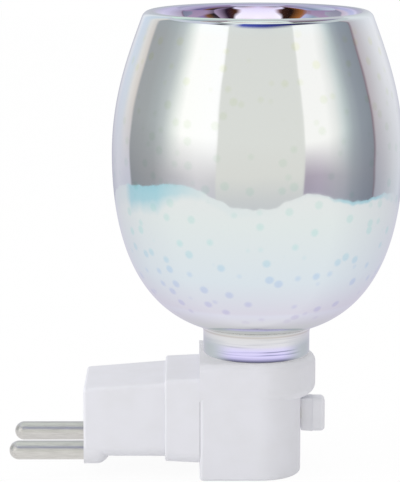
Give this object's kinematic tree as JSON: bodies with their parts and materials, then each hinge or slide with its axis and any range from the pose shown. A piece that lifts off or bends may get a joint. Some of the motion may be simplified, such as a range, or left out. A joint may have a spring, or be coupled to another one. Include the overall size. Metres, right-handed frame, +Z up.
{
  "type": "plug-in wax melt warmer",
  "caption": "Plug-in wax melt warmer: a mirror-plated blown glass globe with a dish pushed into its top stands on a white plug-in base with a turn switch and a screw lamp inside.",
  "frame": {"origin": "midway between the two plug pins, on the block face that meets the socket", "axes": "+Z up, +X from the wall into the room, +Y to the right when facing the wall from the room"},
  "size_m": [0.0998, 0.0734, 0.1177],
  "materials": {
    "plated_glass": "thin mirror plating on blown glass with a fine dotted sheen",
    "white_plastic": "moulded white plastic, satin",
    "knob_plastic": "moulded white plastic, satin",
    "holder_plastic": "heat-resistant cream plastic",
    "rotor_plastic": "moulded plastic",
    "nickel": "nickel plated brass",
    "brass": "pressed brass strip",
    "steel": "zinc plated steel",
    "brown_insulation": "wire insulation",
    "blue_insulation": "wire insulation",
    "solder": "solder",
    "black_glass": "black glass insulator",
    "clear_glass": "clear lamp glass",
    "tungsten": "coiled tungsten"
  },
  "bodies": {
    "housing": {"tower_housing": "white_plastic", "bottom_cover": "white_plastic", "cover_screws": "steel", "plug_housing": "white_plastic", "line_pin": "nickel", "neutral_pin": "nickel", "line_terminal": "brass", "neutral_terminal": "brass", "line_wire": "brown_insulation", "neutral_wire": "blue_insulation", "switched_wire": "brown_insulation", "lamp_holder": "holder_plastic", "holder_screws": "steel", "screw_shell": "brass", "centre_contact": "brass", "switch_body": "holder_plastic", "switch_back_cover": "holder_plastic", "switch_contacts": "brass"},
    "knob": {"switch_knob": "knob_plastic", "switch_spindle": "rotor_plastic", "switch_rotor": "rotor_plastic", "switch_bridge": "brass"},
    "shade": {"glass_neck": "plated_glass", "glass_bowl": "plated_glass", "glass_globe": "plated_glass", "glass_dish": "plated_glass"},
    "bulb_foot": {"bulb_tip_contact": "solder"},
    "bulb": {"bulb_cap": "nickel", "bulb_insulator": "black_glass", "bulb_envelope": "clear_glass", "bulb_stem": "clear_glass", "bulb_leads": "steel", "bulb_filament": "tungsten"}
  },
  "joints": [
    {"name": "switch_turn", "type": "hinge", "parent": "housing", "child": "knob", "pos_m": [0.0556, 0, 0.00725], "axis": [-1, 0, 0], "range_deg": [0, 90]},
    {"name": "shade_lift", "type": "slide", "parent": "housing", "child": "shade", "axis": [0, 0, 1], "range_m": [0, 0.06]},
    {"name": "bulb_rise", "type": "slide", "parent": "housing", "child": "bulb_foot", "axis": [0, 0, 1], "range_m": [0, 0.0085]},
    {"name": "bulb_turn", "type": "hinge", "parent": "bulb_foot", "child": "bulb", "pos_m": [0.044, 0, 0], "axis": [0, 0, 1], "range_deg": [0, 1080]}
  ],
  "couplings": [
    {"joint": "bulb_rise", "follows": "bulb_turn", "m_per_rad": 0.00044913}
  ]
}
